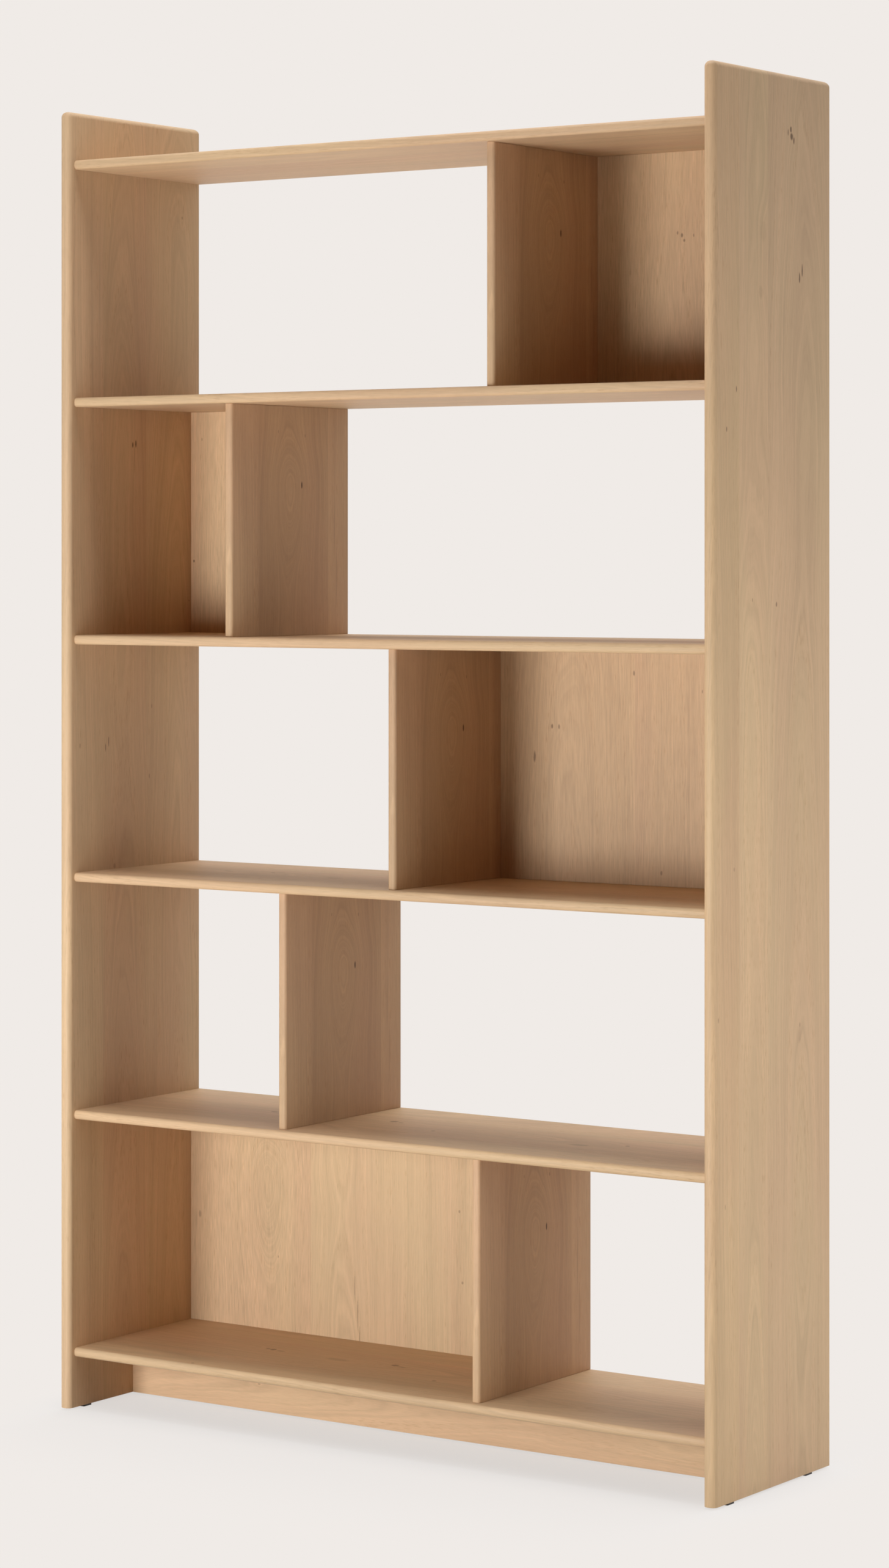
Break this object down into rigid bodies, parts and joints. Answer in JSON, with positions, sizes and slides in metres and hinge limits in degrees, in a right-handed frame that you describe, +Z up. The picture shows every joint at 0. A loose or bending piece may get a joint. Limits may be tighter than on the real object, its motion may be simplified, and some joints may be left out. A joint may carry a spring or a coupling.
{
  "type": "bookcase",
  "caption": "Tall open oak bookcase with rounded sides, full-width bullnose shelves, staggered dividers, partial back panels, a recessed plinth and dark glides.",
  "frame": {"origin": "on the floor, at the middle of the footprint", "axes": "+X along the width to the right as seen from the front, +Y towards the rear, +Z up; the front faces -Y"},
  "size_m": [1.232, 0.34, 2.1],
  "materials": {
    "oak": "matte natural oak, fine open grain",
    "beech_dowel": "bare beech",
    "glide_plastic": "dark brown matte plastic"
  },
  "bodies": {
    "root": {"left_side": "oak", "right_side": "oak", "top_shelf": "oak", "second_shelf": "oak", "third_shelf": "oak", "fourth_shelf": "oak", "fifth_shelf": "oak", "bottom_shelf": "oak", "top_row_divider": "oak", "top_row_back_panel": "oak", "second_row_divider": "oak", "second_row_back_panel": "oak", "third_row_divider": "oak", "third_row_back_panel": "oak", "fourth_row_divider": "oak", "bottom_row_divider": "oak", "bottom_row_back_panel": "oak", "plinth": "oak", "top_shelf_dowels": "beech_dowel", "second_shelf_dowels": "beech_dowel", "third_shelf_dowels": "beech_dowel", "fourth_shelf_dowels": "beech_dowel", "fifth_shelf_dowels": "beech_dowel", "bottom_shelf_dowels": "beech_dowel", "top_row_divider_dowels": "beech_dowel", "top_row_back_panel_dowels": "beech_dowel", "second_row_divider_dowels": "beech_dowel", "second_row_back_panel_dowels": "beech_dowel", "third_row_divider_dowels": "beech_dowel", "third_row_back_panel_dowels": "beech_dowel", "fourth_row_divider_dowels": "beech_dowel", "bottom_row_divider_dowels": "beech_dowel", "bottom_row_back_panel_dowels": "beech_dowel", "plinth_dowels": "beech_dowel", "left_front_glide": "glide_plastic", "left_rear_glide": "glide_plastic", "right_front_glide": "glide_plastic", "right_rear_glide": "glide_plastic"}
  },
  "joints": []
}
